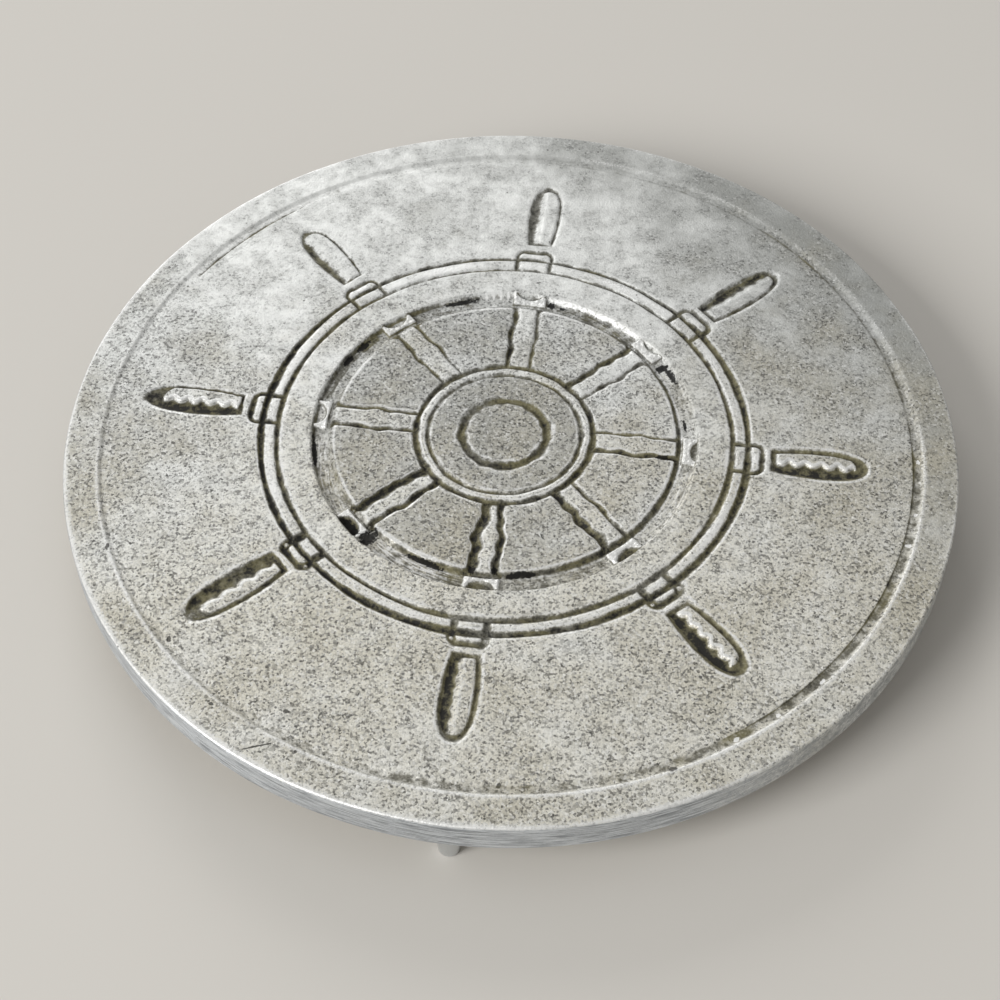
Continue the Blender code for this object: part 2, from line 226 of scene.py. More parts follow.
class WheelSizes(bpy.types.PropertyGroup):
    """Sizes of the carved wheel, outwards from its middle."""

    shift_x: length(-1.45 * MM, "Shift across", "The wheel's middle from the plate's, to the right")
    shift_y: length(0.9 * MM, "Shift back", "The wheel's middle from the plate's, to the back")
    lean_x: length(0.6 * MM, "Spokes across", "The spokes' middle from the wheel's, to the right")
    lean_y: length(0.4 * MM, "Spokes back", "The spokes' middle from the wheel's, to the back")
    turn: bpy.props.FloatProperty(
        name="Turn", description="Angle of the first spoke", default=math.radians(-8.0), subtype="ANGLE"
    )
    spokes: bpy.props.IntProperty(name="Spokes", description="Number of spokes", default=8, min=8, max=8)
    bore: length(9.75 * MM, "Bore", "Radius of the innermost ring line")
    hub_inner: length(17.6 * MM, "Hub inner", "Radius of the hub rim's inner line")
    hub_outer: length(20.3 * MM, "Hub outer", "Radius of the hub rim's outer line")
    spoke_width: length(5.3 * MM, "Spoke width", "Between a spoke's two lines")
    bead_rise: length(0.5 * MM, "Spoke bead", "How far a spoke swells at its middle")
    panel_edge: length(39.9 * MM, "Panel edge", "Radius of the line that ends the panels between the spokes")
    panel_corner: length(1.6 * MM, "Panel corner", "Radius of the panels' outer corners")
    sink_inner: length(40.3 * MM, "Sunk groove inner", "Inner radius of the sunk groove")
    sink_outer: length(44.4 * MM, "Sunk groove outer", "Outer radius of the sunk groove")
    sink_depth: length(1.2 * MM, "Sunk groove depth", "Depth of the sunk groove")
    saddle_width: length(8.6 * MM, "Saddle width", "The block that a spoke ends in")
    ring_inner: length(52.1 * MM, "Ring inner", "Radius of the ring's inner line")
    ring_outer: length(55.7 * MM, "Ring outer", "Radius of the ring's outer line")
    collar_corner: length(1.8 * MM, "Collar corner", "Radius of a collar's shoulders")
    handle_root: length(61.4 * MM, "Handle root", "Where a handle starts")
    handle_width: length(7.0 * MM, "Handle width", "Across a handle's swell")
    handle_butt: length(5.0 * MM, "Handle butt", "Across a handle's square end")
    handle_swell: length(10.6 * MM, "Handle swell", "From a handle's butt to its widest place")
    handle_line: length(1.3 * MM, "Handle line", "Width of the cut round a handle")
    hollow_depth: length(0.9 * MM, "Hollow depth", "Depth of the hollow along a handle")
    hollow_side: bpy.props.FloatProperty(
        name="Hollow side", description="Direction that the hollows lie towards", default=math.radians(195.0),
        subtype="ANGLE",
    )
    line_depth: length(0.9 * MM, "Line depth", "Depth of the carved lines")


class FootSizes(bpy.types.PropertyGroup):
    """Sizes of a turned foot."""

    root: length(6.4 * MM, "Root", "Diameter under the plate")
    tip: length(4.6 * MM, "Tip", "Diameter at the table")
    tip_round: length(0.5 * MM, "Tip round", "Radius of the tip's edge")
    seat: length(0.05 * MM, "Seat", "How far the foot is let into the plate")


class Finishes(bpy.types.PropertyGroup):
    """Colours of the metal, of what has gathered on it, and of its painted shade and highlights."""

    pale: colour("f1f2ef", "Pale metal", "Cast metal where it is cleanest")
    # The dull colour also paints the shade towards the right and on the side away from the light
    dull: colour("989995", "Dull metal", "Cast metal where it has tarnished")
    warm: colour("e6dcc0", "Warm film", "Thin brown film towards the front")
    speck: colour("32312d", "Specks", "Dirt in the grain of the casting")
    pit: colour("35322b", "Pits", "Dirt in the pits of the casting")
    # The bare colour also paints the highlights on edges and borders that face the light
    bare_and_highlight: colour("f8f8f6", "Bare metal", "Edges that wear keeps bright")
    # The grime colour also paints shade in the cuts, hollows and sunk groove
    grime_and_shade: colour("555243", "Grime", "Dirt in the cuts")
    olive: colour("716a3c", "Olive grime", "Oily dirt in some of the cuts")
    # The deep grime colour also paints the darkest shade at the bottom of the cuts and hollows
    deep_grime_and_shade: colour("1f1c14", "Deep grime", "Dirt at the bottom of the cuts")
    # The near-black also paints shadow in the sunk groove and in the deepest hollows
    residue_and_shadow: colour("0a0908", "Residue", "Black remains in the sunk groove")
    silver: colour("dee2e6", "Filed edge", "The brushed side of the plate")
    streak: colour("6a6e72", "File marks", "The darker scratches round the side")
    turned: colour("d3d6d8", "Turned metal", "The feet")


class StageSettings(bpy.types.PropertyGroup):
    """Floor, light and camera."""

    floor: colour("d6d2cb", "Floor", "Colour of the floor")
    sky: colour("ebebea", "Sky", "Colour of the even light from all round")
    sky_strength: bpy.props.FloatProperty(
        name="Sky strength", description="Strength of the even light from all round", default=0.44
    )
    eye: bpy.props.FloatVectorProperty(
        name="Eye", description="Where the camera stands", default=(-0.00386, -0.2929, 0.36957),
        subtype="TRANSLATION",
    )
    aim: bpy.props.FloatVectorProperty(
        name="Aim", description="What the camera looks at", default=(-0.00253, -0.0189, 0.019),
        subtype="TRANSLATION",
    )
    lens: bpy.props.FloatProperty(name="Lens", description="Focal length in millimetres", default=72.0)


class TrivetSettings(bpy.types.PropertyGroup):
    """All settings of the trivet."""

    plate: bpy.props.PointerProperty(type=PlateSizes)
    wheel: bpy.props.PointerProperty(type=WheelSizes)
    foot: bpy.props.PointerProperty(type=FootSizes)
    finish: bpy.props.PointerProperty(type=Finishes)
    stage: bpy.props.PointerProperty(type=StageSettings)


def smooth(value, low, high):
    """0 below low, 1 above high and 3t² - 2t³ between, where t is the way from low to high."""
    t = np.clip((value - low) / (high - low), 0.0, 1.0)
    return t * t * (3.0 - 2.0 * t)


def bell(away):
    """A soft hump: 1 in the middle and 0 from 1 on, as the square of 1 - u²."""
    return np.clip(1.0 - away * away, 0.0, None) ** 2


def vee(away):
    """A chisel's cut: 1 in the middle, 0 from 1 on, with straight flanks and a hyperbola at the bottom."""
    blunt = 0.2
    fall = (np.sqrt(away * away + blunt**2) - blunt) / (math.hypot(1.0, blunt) - blunt)
    return np.clip(1.0 - fall, 0.0, None)


def facing(angle, degrees):
    """How much an angle points one way: the cosine of the turn between them, 1 that way and -1 the other."""
    return np.cos(angle - math.radians(degrees))


def wobble(angle, seed):
    """A hand's wobble round a ring, about -1 to 1: five sines of 3 to 19 waves a turn, phased by a seed."""
    waves = np.array([3, 5, 8, 13, 19])
    phases = seed * np.array([1.3, 2.9, 0.7, 4.1, 5.3])
    return np.sin(angle[..., None] * waves + phases).sum(-1) / 3.0


def uneven(x, y, size, seed):
    """Unevenness of one size, about -1 to 1: six sines at golden angles, each shorter than the last."""
    number = np.arange(6)
    ways = GOLDEN_ANGLE * number + seed
    rates = math.tau / size * 1.23**number
    along = x[..., None] * np.cos(ways) + y[..., None] * np.sin(ways)
    return np.sin(along * rates + seed * number).sum(-1) / 3.0


def rounded_box(u, v, half_u, half_v, corner):
    """Signed distance from a rectangle with round corners: the distance from a rectangle that is smaller by
    the corner's radius on every side, less that radius."""
    across = np.abs(u) - half_u + corner
    along = np.abs(v) - half_v + corner
    outside = np.hypot(np.maximum(across, 0.0), np.maximum(along, 0.0))
    return outside + np.minimum(np.maximum(across, along), 0.0) - corner


def place_on_wheel(x, y, middle, wheel):
    """Places about a middle: radius, angle, nearest spoke, and the ways out along it and to its left."""
    over, up = x - middle[0], y - middle[1]
    radius, angle = np.hypot(over, up), np.arctan2(up, over)
    share = math.tau / wheel.spokes
    spoke = np.rint((angle - wheel.turn) / share).astype(int)
    turned = angle - wheel.turn - share * spoke
    return radius, angle, spoke % wheel.spokes, radius * np.cos(turned), radius * np.sin(turned)


def handle_edge(out, left, tip, wheel):
    """Signed distance from a handle's outline, negative inside.

    From the butt to the swell, the half width grows in a parabola. Past the swell, the outline is a blunt
    oval, p^2.6 + q² = 1, where p is the way from swell to tip and q the share of the half width. The value
    of that equation over the length of its gradient is close to the distance."""
    along = out - wheel.handle_root
    widest = wheel.handle_width / 2
    slack = np.clip(1.0 - along / wheel.handle_swell, 0.0, 1.0)
    half = widest - (widest - wheel.handle_butt / 2) * slack**2
    run = tip - wheel.handle_root - wheel.handle_swell
    past = np.clip((along - wheel.handle_swell) / run, 0.0, None)
    power = 2.6
    value = past**power + (left / half) ** 2 - 1.0
    slope = np.hypot(power * past ** (power - 1.0) / run, 2.0 * left / half**2)
    return np.maximum(value / np.maximum(slope, 50.0), -along)


def ring_cuts(radius, angle, wheel):
    """The wheel's ring lines, as (distance, width, strength): each wobbles a little about its radius, and
    the outer two are broader towards the front right and finer at the back."""
    broad = 1.0 + 0.25 * smooth(facing(angle, 300.0), 0.3, 0.9)
    broad = broad - 0.3 * smooth(np.sin(angle), 0.2, 0.9)
    rings = (
        (wheel.bore, 2.1 * MM, 0.9),
        (wheel.hub_inner, 1.1 * MM, 0.75),
        (wheel.hub_outer, 1.5 * MM, 0.95),
        (wheel.panel_edge, PANEL_LINE, 0.65 + 0.35 * facing(angle, 325.0)),
        (wheel.ring_inner, 1.2 * MM * broad, 0.85),
        (wheel.ring_outer, 1.5 * MM * broad, 1.0),
    )
    cuts = []
    for seed, (line, width, strength) in enumerate(rings, 1):
        distance = radius - line - 0.1 * MM * wobble(angle, seed)
        cuts.append((distance, width * (1.0 + 0.25 * wobble(angle, seed + 9)), strength))
    return cuts


def spoke_cuts(out, left, radius, spoke, wheel):
    """The two lines of a spoke, as (distance, width, strength): they run from hub to groove, draw together
    towards the hub, swell at a bead halfway and waver as the chisel did. At the groove each line turns away
    from the spoke in a quarter circle and takes the width of the line that it runs into, which leaves the
    panels with round corners."""
    middle = (wheel.hub_outer + wheel.sink_inner) / 2
    half = wheel.spoke_width / 2 + wheel.bead_rise * bell((out - middle) / (3.2 * MM))
    half = half - SPOKE_TAPER[spoke] * (1.0 - smooth(out, wheel.hub_outer, wheel.hub_outer + 13.0 * MM))
    run = smooth(radius, wheel.hub_outer - 0.3 * MM, wheel.hub_outer + 0.2 * MM)
    run = run * (1.0 - smooth(radius, wheel.sink_inner - 0.2 * MM, wheel.sink_inner + 0.4 * MM))
    corner = wheel.panel_corner
    outward = np.clip(1.0 - (wheel.panel_edge - radius) / corner, 0.0, 1.0)
    cuts = []
    for side, widths in ((1.0, LEFT_LINE), (-1.0, RIGHT_LINE)):
        phase = 2.4 * spoke + side
        waver = np.sin(out / (0.7 * MM) + phase) + np.sin(out / (1.3 * MM) + 1.7 * phase)
        width = widths[spoke] * (1.0 + 0.18 * np.sin(out / (0.9 * MM) + 3.1 * phase))
        distance = side * left - half - 0.06 * widths[spoke] * waver
        aside = np.clip(distance / corner, 0.0, 1.0)
        turning = corner * (1.0 - np.hypot(1.0 - aside, outward))
        distance = np.where((aside > 0.0) & (aside < 1.0), turning, distance)
        strength = run * np.clip(width / (1.4 * MM), 0.8, 1.1)
        merged = 1.0 - (1.0 - aside) * (1.0 - outward)
        cuts.append((distance, width + (PANEL_LINE - width) * merged, strength))
    return cuts


def collar_cuts(out, left, spoke, wheel):
    """The lines of a collar, as (distance, width, strength): an arch with round shoulders outside the ring,
    which is half of a rectangle about the ring's line and leaves a dot of metal in each foot, and a straight
    line across the ring on each side."""
    ring = wheel.ring_outer
    arch = rounded_box(out - ring, left, COLLAR_TOP[spoke] - ring, COLLAR_HALF[spoke], wheel.collar_corner)
    foot = smooth(np.abs(left), 1.8 * MM, 3.2 * MM)
    width = COLLAR_LINE[spoke] + (COLLAR_SIDE - COLLAR_LINE)[spoke] * foot
    dot = bell(np.hypot(np.abs(left) - COLLAR_HALF[spoke], out - ring - 1.5 * MM) / (0.75 * MM))
    across = smooth(out, wheel.ring_inner - 0.3 * MM, wheel.ring_inner + 0.2 * MM)
    beyond = smooth(out, ring - 0.3 * MM, ring + 0.2 * MM)
    return [
        (arch, width, 0.95 * beyond * (1.0 - COLLAR_DOTS[spoke] * dot)),
        (np.abs(left) - COLLAR_BASE[spoke], COLLAR_FOOT[spoke], 0.9 * across * (1.0 - beyond)),
    ]


def notched_border(out, spoke, wheel):
    """How far a handle's hollow ends from the handle's middle: scallops, by the size of a sine with its
    cusps blunted, whose height varies along the handle."""
    along = (out - wheel.handle_root) / NOTCH_PITCH[spoke]
    scallop = np.sqrt(np.sin(math.pi * along + spoke) ** 2 + 0.02)
    return MM * (NOTCHING[spoke] * (1.3 + 0.3 * np.sin(1.9 * along + 2.0 * spoke)) * (scallop - 0.6) + 0.3)


def hollow_way(spoke, wheel):
    """1 where a handle's hollow lies to the left of its spoke and -1 where it lies to the right."""
    to_left = wheel.turn + math.tau / wheel.spokes * np.arange(wheel.spokes) + math.pi / 2
    return np.sign(np.cos(to_left - wheel.hollow_side))[spoke]


def handle_hollow(out, left, edge, spoke, wheel):
    """How far a handle is hollowed, how dark the hollow is painted and how bright its border, each 0 to 1. The
    hollow lies on the side towards the light. Its darkness is dirt and painted shadow, deepest at the outer
    wall, and the bright band along the border is a painted highlight where the border faces the light. The
    hollow fills the outline on one side of the border: steep where the border is notched, and a long slope
    where it is not. The distance from the border is the least distance from places on it up to 1.5 mm along
    either way. At the tip the hollow takes the whole width."""
    side = hollow_way(spoke, wheel) * left
    nearest = np.full_like(side, np.inf)
    for ahead in np.linspace(-1.5 * MM, 1.5 * MM, 31):
        nearest = np.minimum(nearest, np.hypot(ahead, side - notched_border(out + ahead, spoke, wheel)))
    beyond = nearest * np.sign(side - notched_border(out, spoke, wheel))
    inside = smooth(-edge, -0.3 * MM, 0.3 * MM)
    notched = NOTCHING[spoke]
    hollow = inside * smooth(beyond, -0.25 * MM, (1.9 - 1.5 * notched) * MM)
    dirt_and_shade = inside * smooth(beyond, 0.0, (2.4 - 2.0 * notched) * MM)
    # Painted shadow: the hollow darker towards its outer wall
    dirt_and_shade = dirt_and_shade * (0.8 + 0.25 * smooth(side, 0.6 * MM, 3.2 * MM))
    end = (HANDLE_TIP - HANDLE_END)[spoke] - left**2 / (4.5 * MM)
    ending = smooth(out, end - 0.6 * MM, end)
    # Painted highlight: a bright band along the border, whose slope faces the light
    border = inside * bell((beyond + 0.5 * MM) / (0.75 * MM)) * (0.05 + 0.95 * notched) * (1.0 - ending)
    dirt_and_shade = np.maximum(dirt_and_shade, 0.8 * inside * ending)
    return np.maximum(hollow, 0.8 * inside * ending), dirt_and_shade * HOLLOW_DIRT_AND_SHADE[spoke], border


def sunk_groove(out, left, radius, angle, wheel):
    """How far the groove inside the ring is sunk, where its saddles stand and where those are hollowed, each
    0 to 1. A saddle is a block across the groove at a spoke's end, hollowed on its outer side by an ellipse.
    The groove's outer wall leans out where it was scraped."""
    lean = MM * (0.7 + 1.0 * smooth(facing(angle, 58.0), 0.93, 0.97))
    inner = wheel.sink_inner + 0.15 * MM * wobble(angle, 21)
    outer = wheel.sink_outer + 0.15 * MM * wobble(angle, 22)
    sunk = smooth(radius, inner - 0.7 * MM, inner) - smooth(radius, outer - lean, outer)
    half = wheel.saddle_width / 2
    block = 1.0 - smooth(np.abs(left), half - 0.6 * MM, half)
    block = block * smooth(radius, wheel.sink_inner + 0.1 * MM, wheel.sink_inner + 0.8 * MM)
    scoop = np.hypot((out - wheel.sink_outer - 0.2 * MM) / (2.5 * MM), left / (half - 1.2 * MM))
    standing = smooth(scoop, 0.8, 1.15)
    saddle = block * standing * sunk
    return sunk - saddle, saddle, block * (1.0 - standing) * sunk


def patches_at(radius, angle, patches):
    """How much patches give, 0 to 1: each is a stretch of angle by a stretch of radius, with soft edges."""
    degrees = np.degrees(angle) % 360.0
    covered = np.zeros_like(radius)
    for start, end, low, high, amount in patches:
        around = smooth(degrees, start - 1.0, start + 0.5) * (1.0 - smooth(degrees, end - 0.5, end + 1.0))
        across = smooth(radius, (low - 0.5) * MM, low * MM)
        across = across * (1.0 - smooth(radius, high * MM, (high + 0.5) * MM))
        covered = np.maximum(covered, amount * around * across)
    return covered


def carve(cuts):
    """Depth, darkening and brightening of all cuts together, each the most that any one gives, from 0 to
    about 1.

    A cut is a vee below shoulders that wear has rolled over. The darkening is dirt and painted shade, and
    falls off evenly, to nothing at 1.5 times the vee's half width, and the bright band just outside the vee
    is wear and painted highlight."""
    depth, dirt_and_shade, shoulder = 0.0, 0.0, 0.0
    for distance, width, strength in cuts:
        away = 2.0 * np.abs(distance) / width
        depth = np.maximum(depth, strength * (0.85 * vee(away) + 0.15 * bell(away / 2.4)))
        dirt_and_shade = np.maximum(dirt_and_shade, strength * np.clip(1.5 - away, 0.0, 1.0))
        beside = np.abs(distance) - width / 2 - 0.3 * MM
        shoulder = np.maximum(shoulder, strength * bell(beside / (0.5 * MM)))
    return depth, dirt_and_shade, shoulder


def wheel_wear_and_highlight(radius, angle, out, left, spoke, wheel):
    """Where the wheel is bright, 0 to about 1: the edge of the panels, worn, and wider and brighter at about
    241 degrees, where it faces the light, as painted highlight, and the strip between the ring's lines and
    the windows of the collars, which hands and pans keep bright."""
    lit_edge = smooth(facing(angle, 241.0), 0.93, 0.98)
    panel_edge = bell((radius - wheel.sink_inner + 1.3 * MM) / (MM * (0.6 + 0.5 * lit_edge)))
    panel_edge = panel_edge * (0.7 + 0.3 * wobble(angle, 61) + 0.4 * lit_edge)
    strip = bell((radius - (wheel.ring_inner + wheel.ring_outer) / 2) / (1.7 * MM))
    strip = strip * (0.5 + 0.25 * wobble(angle, 71))
    window = bell(left / (2.6 * MM)) * bell((out - (wheel.ring_outer + COLLAR_TOP[spoke]) / 2) / (1.3 * MM))
    return np.maximum.reduce((0.8 * panel_edge, strip, 0.9 * window))


def groove_marks(radius, angle, wheel):
    """Metal scraped bare in the sunk groove, with painted highlight where its walls face the light, and
    darkening of its floor and at the feet of its walls, 0 to about 1: dirt on the floor, and painted shadow at
    the feet of the walls that face away from the light. Streaks run along the groove: unevenness that is
    stretched six times as long as it is wide."""
    along = wheel.sink_inner * ((angle - wheel.turn) % math.tau)
    streaks = 0.5 + 0.5 * uneven(6.0 * radius, along, 5.0 * MM, 7.0)
    streaked = smooth(-np.sin(angle), -0.05, 0.05)
    scraped_and_lit = patches_at(radius, angle, SCRAPED_AND_LIT) * (1.0 - streaked * (1.0 - smooth(streaks, 0.3, 0.7)))
    stained_and_shaded = patches_at(radius, angle, STAINS_AND_SHADOW) * (1.3 - 0.6 * streaks)
    # Painted shadow at the foot of the outer wall, where that wall faces away from the light
    outer_foot = bell((radius - wheel.sink_outer + 0.7 * MM) / (0.8 * MM))
    outer_foot = outer_foot * smooth(facing(angle, 148.0), 0.3, 0.9)
    # Painted shadow at the foot of the inner wall, most towards the front right, where it faces away from the     light
    inner_foot = bell((radius - wheel.sink_inner) / (0.6 * MM))
    inner_foot = inner_foot * (0.25 + 0.75 * smooth(facing(angle, 328.0), 0.85, 0.97))
    inner_foot = inner_foot * smooth(facing(angle, 285.0), 0.2, 0.8)
    return scraped_and_lit, np.maximum.reduce((0.85 * outer_foot, 0.85 * inner_foot, stained_and_shaded))


def wheel_tarnish(radius, angle, spoke_left, wheel):
    """How dull the wheel has gone inside the sunk groove, 0 to about 2.5: less on the spokes and the hub's
    rim, which are touched, and on the right, and most inside the hub."""
    half = wheel.spoke_width / 2
    on_spoke = smooth(radius, wheel.hub_outer, wheel.hub_outer + 0.5 * MM)
    on_spoke = on_spoke * (1.0 - smooth(np.abs(spoke_left), half - 0.3 * MM, half + 0.3 * MM))
    on_hub_rim = smooth(radius, wheel.hub_inner, wheel.hub_inner + 0.5 * MM)
    on_hub_rim = on_hub_rim * (1.0 - smooth(radius, wheel.hub_outer - 0.5 * MM, wheel.hub_outer))
    within = 1.0 - smooth(radius, wheel.sink_outer - 1.0 * MM, wheel.sink_outer)
    duller = 0.25 * smooth(-np.cos(angle), 0.0, 1.0) + 0.35 * smooth(-np.sin(angle), 0.3, 1.0)
    duller = duller - 0.65 * smooth(np.cos(angle), 0.0, 1.0)
    duller = 1.0 + duller * smooth(radius, wheel.hub_outer, wheel.hub_outer + 4.0 * MM)
    for line, more in ((wheel.bore, 1.0), (wheel.hub_inner, 0.45)):
        duller = duller + more * (1.0 - smooth(radius, line - 0.5 * MM, line))
    return within * (1.0 - 0.7 * np.maximum(on_spoke, on_hub_rim)) * duller


def carving(x, y, wheel):
    """Depth of the carved wheel below the field at points of the plate, and the marks for its finish, with
    painted shade and highlights among them.

    The spokes and saddles were set out a little aside from the rings, and each handle a little aside from
    its spoke."""
    middle = (wheel.shift_x, wheel.shift_y)
    radius, angle, spoke, out, left = place_on_wheel(x, y, middle, wheel)
    leant = (wheel.shift_x + wheel.lean_x, wheel.shift_y + wheel.lean_y)
    _, _, spoke_near, spoke_out, spoke_left = place_on_wheel(x, y, leant, wheel)
    handle_left = left - HANDLE_ASIDE[spoke]
    back = smooth(np.sin(angle), 0.2, 0.9)

    edge = handle_edge(out, handle_left, HANDLE_TIP[spoke], wheel)
    cuts = ring_cuts(radius, angle, wheel) + spoke_cuts(spoke_out, spoke_left, radius, spoke_near, wheel)
    cuts += collar_cuts(out, left, spoke, wheel)
    finer = 1.0 - 0.3 * smooth(np.sin(angle), 0.5, 0.95)
    island = 1.0 - smooth(hollow_way(spoke, wheel) * handle_left, -0.5 * MM, 0.8 * MM)
    finer = finer * (1.0 - island * (1.0 - ISLAND_LINE[spoke]))
    cuts.append((edge, wheel.handle_line * finer * (1.0 + 0.15 * wobble(angle, 31)), 0.85))
    cut, dirt_and_shade, shoulder = carve(cuts)
    hollow, hollow_dirt_and_shade, border = handle_hollow(out, handle_left, edge, spoke, wheel)
    sunk, saddle, scooped = sunk_groove(spoke_out, spoke_left, radius, angle, wheel)

    # Painted shade: from 45 mm out, the cuts towards the light, at about 195 degrees, are darker, as their near     walls stand in shade
    light_side_shade = smooth(facing(angle, 195.0), 0.4, 0.8) * smooth(radius, 45.0 * MM, 50.0 * MM)
    cleaner = 1.0 - 0.1 * back + 0.2 * light_side_shade
    scraped_and_lit, darkened = groove_marks(radius, angle, wheel)
    darkened = darkened * (1.0 - saddle)
    # The saddles' scoops are darkened with dirt and painted shade
    darkened = np.maximum.reduce((darkened, 0.2 * sunk, SCOOP_DIRT_AND_SHADE[spoke_near] * scooped))
    # Painted shade along the borders of the saddles
    saddle_foot = 3.2 * saddle * (1.0 - saddle)
    # Painted highlight on the shoulders of the cuts, with their wear, less at the back
    rolled_and_lit = shoulder * (1.0 - 0.5 * back) * (0.75 + 0.3 * uneven(x, y, 9.0 * MM, 8.0))
    rubbed_and_lit = wheel_wear_and_highlight(radius, angle, out, left, spoke, wheel)
    worn_and_lit = np.maximum.reduce((rolled_and_lit, border, SADDLE_WEAR[spoke_near] * saddle, rubbed_and_lit))
    marks = {
        "grime_and_shade": np.maximum.reduce((dirt_and_shade * cleaner, hollow_dirt_and_shade, darkened, saddle_foot)),
        "wear_and_highlight": np.maximum(worn_and_lit * (1.0 - np.maximum(dirt_and_shade, hollow_dirt_and_shade)), scraped_and_lit * (1.0 - saddle)),
        "tarnish_and_shade": wheel_tarnish(radius, angle, spoke_left, wheel) * (1.0 - saddle),
    }
    rough_floor = 1.0 + 0.12 * uneven(x, y, 3.0 * MM, 5.0)
    rough_saddle = MM * (0.3 + 0.1 * uneven(x, y, 2.4 * MM, 6.0))
    depth = np.maximum(cut * wheel.line_depth, hollow * wheel.hollow_depth)
    return np.maximum(depth, sunk * rough_floor * wheel.sink_depth + saddle * rough_saddle), marks


def ring_radii(plate, wheel):
    """Radii of the rings on the plate's top, close together where the carving needs them: the spacing wanted
    at each radius becomes a count along the radius, and rings stand at even steps of that count."""
    field = plate.diameter / 2 - plate.rim_width - plate.channel_width
    # From and to, how far past both in millimetres, and the spacing there in millimetres
    zones = (
        (wheel.bore, wheel.bore, 1.6, 0.28),
        (wheel.hub_inner, wheel.hub_outer, 1.1, 0.24),
        (wheel.hub_outer, wheel.sink_inner, -1.2, 0.62),
        (wheel.sink_inner, wheel.sink_outer, 1.6, 0.25),
        (wheel.ring_inner, wheel.handle_root, 1.0, 0.27),
        (wheel.handle_root, HANDLE_TIP.max(), -1.0, 0.36),
        (field, field + plate.channel_width, 0.6, 0.25),
    )
    fine = np.linspace(0.0, plate.diameter / 2 - plate.edge_round, RADIUS_SAMPLES)
    spacing = np.full_like(fine, 1.2 * MM)
    for low, high, more, step in zones:
        spacing[(fine > low - more * MM) & (fine < high + more * MM)] = step * MM
    count = np.concatenate(([0.0], np.cumsum(np.diff(fine) / spacing[1:])))
    rings = int(count[-1])
    return np.interp(np.linspace(0.0, count[-1], rings + 1), count, fine)


def past_handles(radius):
    """0 among the handles and 1 from a little past their tips on."""
    return smooth(radius, HANDLE_TIP.max() + 1.5 * MM, HANDLE_TIP.max() + 6.0 * MM)


def column_angles(radius, wheel):
    """Angles of the columns on each ring. Beside a spoke they run parallel to it, at an angle whose sine is
    their distance from it over the radius. The others share the space between, and at the rim all are
    even."""
    number = np.arange(wheel.spokes * COLUMNS)
    share = math.tau / wheel.spokes
    place = (number % COLUMNS + 0.5) / COLUMNS - 0.5
    strip = SPOKE_COLUMNS / COLUMNS / 2
    reach = np.minimum(SPOKE_STRIP / np.maximum(radius, MM), math.sin(SPOKE_SPREAD))[:, None]
    beside = np.arcsin(np.clip(place / strip, -1.0, 1.0) * reach)
    spare = np.clip(np.abs(place) - strip, 0.0, None) / (0.5 - strip)
    between = np.sign(place) * spare * (share / 2 - np.arcsin(reach))
    even = past_handles(radius)[:, None]
    offset = (beside + between) * (1.0 - even) + place * share * even
    return wheel.turn + share * (number // COLUMNS) + offset


def rim_relief(away, around, plate):
    """How far the rim has risen, how deep the channel lies and where a line was scribed beside it, each 0 to
    1. The channel was cast shallow, and almost to nothing at the left."""
    rim = plate.diameter / 2 - plate.rim_width
    step = smooth(away, rim - 0.9 * MM, rim + 0.3 * MM)
    channel = smooth(away, rim - plate.channel_width, rim - plate.channel_width + 0.6 * MM) - step
    shallow = smooth(facing(around, 170.0), 0.0, 0.8)
    channel = channel * (0.65 + 0.35 * facing(around, 320.0))
    channel = channel * (1.0 - shallow * (0.4 + 0.4 * wobble(around, 43)))
    degrees = np.degrees(around) % 360.0
    scribed = smooth(degrees, 122.0, 126.0) * (1.0 - smooth(degrees, 144.0, 148.0))
    return step, channel, scribed * bell((away - plate.diameter / 2 + 10.3 * MM) / (0.5 * MM))


def rim_marks(away, around, step, channel, scribed, plate):
    """Darkening, dulling and brightening of the rim and the channel, each 0 to about 1: the channel darker,
    most at the front, with painted shade along its inner wall on the right, a rim painted darker on the
    right, away from the light, as painted shade, and bright metal on the rim's inner edge and at the plate's
    outer one, brighter where that faces the light, as painted highlight."""
    rim = plate.diameter / 2 - plate.rim_width
    inside = away - rim + plate.channel_width
    darkened = bell((inside - 0.5 * MM) / (0.8 * MM)) * (0.35 + 0.25 * np.cos(around + 0.6))
    frontward = smooth(facing(around, 285.0), -0.1, 0.6) * (0.56 + 0.1 * wobble(around, 41))
    # Painted shade along the channel's inner wall on the right, which faces away from the light
    edged = bell((inside - 0.3 * MM) / (0.45 * MM)) * smooth(facing(around, 330.0), 0.75, 0.9)
    grime_and_shade = np.maximum.reduce((darkened, frontward * channel, 0.9 * edged, 0.8 * scribed))
    # Painted shade: the rim darker on the right, away from the light, and less dull at the back
    duller = 0.4 + 0.8 * smooth(facing(around, 10.0), 0.6, 0.95) - 0.3 * smooth(np.sin(around), 0.5, 0.95)
    worn_and_lit = 0.4 - 0.2 * np.sin(around) + 0.15 * wobble(around, 42)
    worn_and_lit = worn_and_lit * bell((away - rim - 0.4 * MM) / (1.1 * MM))
    # Painted highlight: the outer edge brighter where it faces the light, at about 205 degrees
    rubbed_and_lit = 0.45 + 0.3 * facing(around, 205.0) + 0.25 * wobble(around, 44)
    rubbed_and_lit = rubbed_and_lit * bell((away - plate.diameter / 2) / (2.4 * MM))
    return grime_and_shade, np.maximum(0.8 * channel, duller * step), np.maximum(worn_and_lit, rubbed_and_lit)


